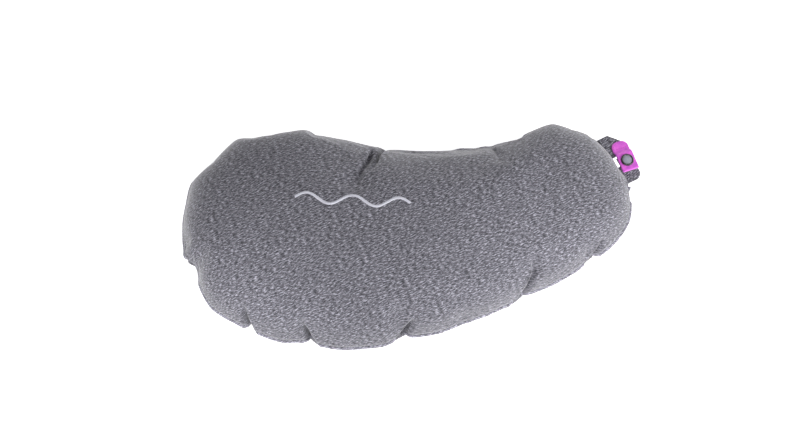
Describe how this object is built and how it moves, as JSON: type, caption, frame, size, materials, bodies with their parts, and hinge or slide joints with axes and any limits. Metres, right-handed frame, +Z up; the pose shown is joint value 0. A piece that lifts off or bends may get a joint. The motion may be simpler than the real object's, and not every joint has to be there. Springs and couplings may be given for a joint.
{
  "type": "inflatable wobble cushion",
  "caption": "Bean-shaped inflatable wobble cushion in jersey-covered film, with a welded edge flange, a snap-open hanging loop and a push-in air valve.",
  "frame": {"origin": "centre of the flat underside, halfway along the cushion's length and depth, on the surface it rests on", "axes": "+X along the cushion from the large lobe to the small lobe with the loop, +Y towards the concave rear edge with the valve, +Z up"},
  "size_m": [0.4698, 0.2424, 0.0968],
  "materials": {
    "jersey": "melange knit, matt",
    "strap_jersey": "melange knit, matt, darker",
    "film": "smooth airtight elastomer film",
    "pale_thread": "satin stitch",
    "dark_thread": "dense stitch",
    "magenta_thread": "stitch",
    "magenta_synthetic_leather": "fine grain, satin",
    "gunmetal_enamel": "glossy enamel, dark round its rim",
    "nickel": "plated, satin",
    "spring_steel": "drawn wire",
    "grey_valve_plastic": "moulded, fine texture",
    "valve_rubber": "soft moulded"
  },
  "bodies": {
    "cushion": {"top_cover": "jersey", "bottom_cover": "jersey", "top_film": "film", "bottom_film": "film", "embroidered_wave": "pale_thread", "strap_sewn_ends": "strap_jersey", "strap_bartacks": "dark_thread", "valve_base": "grey_valve_plastic"},
    "hanging_loop": {"strap_upper_tail": "strap_jersey", "strap_lower_tail": "strap_jersey", "tab_sewn_end": "magenta_synthetic_leather", "tab_stitching": "magenta_thread", "snap_stud": "nickel", "snap_post": "nickel"},
    "tab": {"snap_tab": "magenta_synthetic_leather", "snap_cap": "gunmetal_enamel", "snap_socket": "nickel", "snap_spring": "spring_steel"},
    "insert": {"valve_insert": "grey_valve_plastic", "valve_seal": "valve_rubber"},
    "check_valve": {"valve_diaphragm": "valve_rubber"},
    "lid": {"valve_cap": "grey_valve_plastic"}
  },
  "joints": [
    {"name": "loop_swing", "type": "hinge", "parent": "cushion", "child": "hanging_loop", "pos_m": [0.22085, 0.03629, 0.0462], "axis": [0.342, -0.9397, 0], "range_deg": [-75, 20], "stiffness_Nm_per_rad": 0.01},
    {"name": "tab_open", "type": "hinge", "parent": "hanging_loop", "child": "tab", "pos_m": [0.22936, 0.0504, 0.04855], "axis": [-0.9796, -0.2011, 0], "range_deg": [0, 120]},
    {"name": "valve_insert_pull", "type": "slide", "parent": "cushion", "child": "insert", "axis": [0, 0.866, -0.5], "range_m": [0, 0.009]},
    {"name": "valve_cap_open", "type": "hinge", "parent": "insert", "child": "lid", "pos_m": [0.06792, 0.07751, 0.02868], "axis": [1, 0, 0], "range_deg": [0, 120]},
    {"name": "check_valve_lift", "type": "slide", "parent": "insert", "child": "check_valve", "axis": [0, -0.866, 0.5], "range_m": [0, 0.0011], "stiffness_N_per_m": 2}
  ]
}
